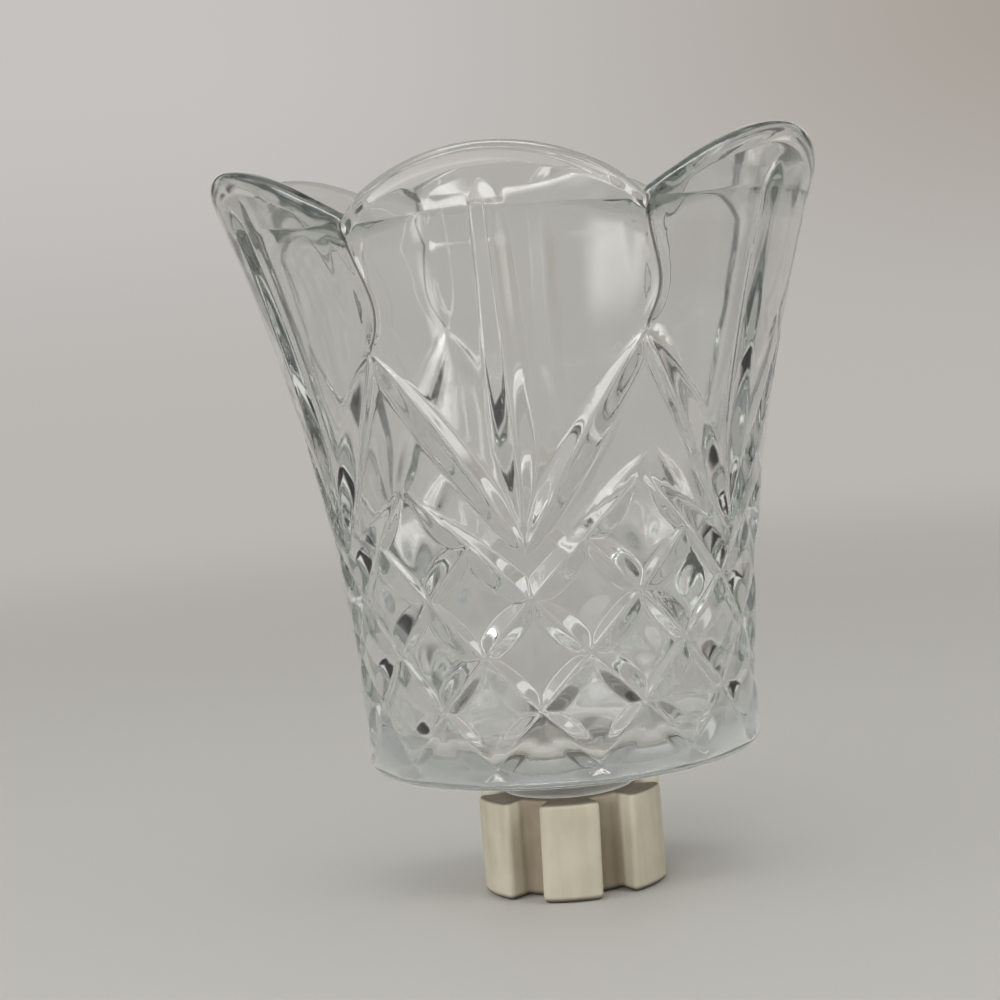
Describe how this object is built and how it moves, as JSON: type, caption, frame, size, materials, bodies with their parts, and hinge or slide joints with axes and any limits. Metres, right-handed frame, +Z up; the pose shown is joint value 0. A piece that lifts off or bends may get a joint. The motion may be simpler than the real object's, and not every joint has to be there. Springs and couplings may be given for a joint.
{
  "type": "pegged votive candle cup",
  "caption": "Flared clear pressed-glass votive cup with a scalloped rim, fan and diamond mitres, and a peg in a lobed push-on grommet that fits a candlestick socket.",
  "frame": {"origin": "centre of the grommet's foot, on the surface that the holder stands on", "axes": "+Z up along the cup's axis; -Y through the middle of the front panel; +X to the right seen from the front"},
  "size_m": [0.0716, 0.075, 0.09],
  "materials": {
    "clear_glass": "clear pressed glass, fire polished, with a faint grey-green cast in thick sections",
    "ivory_rubber": "satin moulded ivory rubber, slightly soiled in the slots"
  },
  "bodies": {
    "grommet": {"peg_grommet": "ivory_rubber"},
    "cup": {"glass_cup": "clear_glass"}
  },
  "joints": [
    {"name": "cup_lift", "type": "slide", "parent": "grommet", "child": "cup", "axis": [0, 0, 1], "range_m": [0, 0.015]}
  ]
}
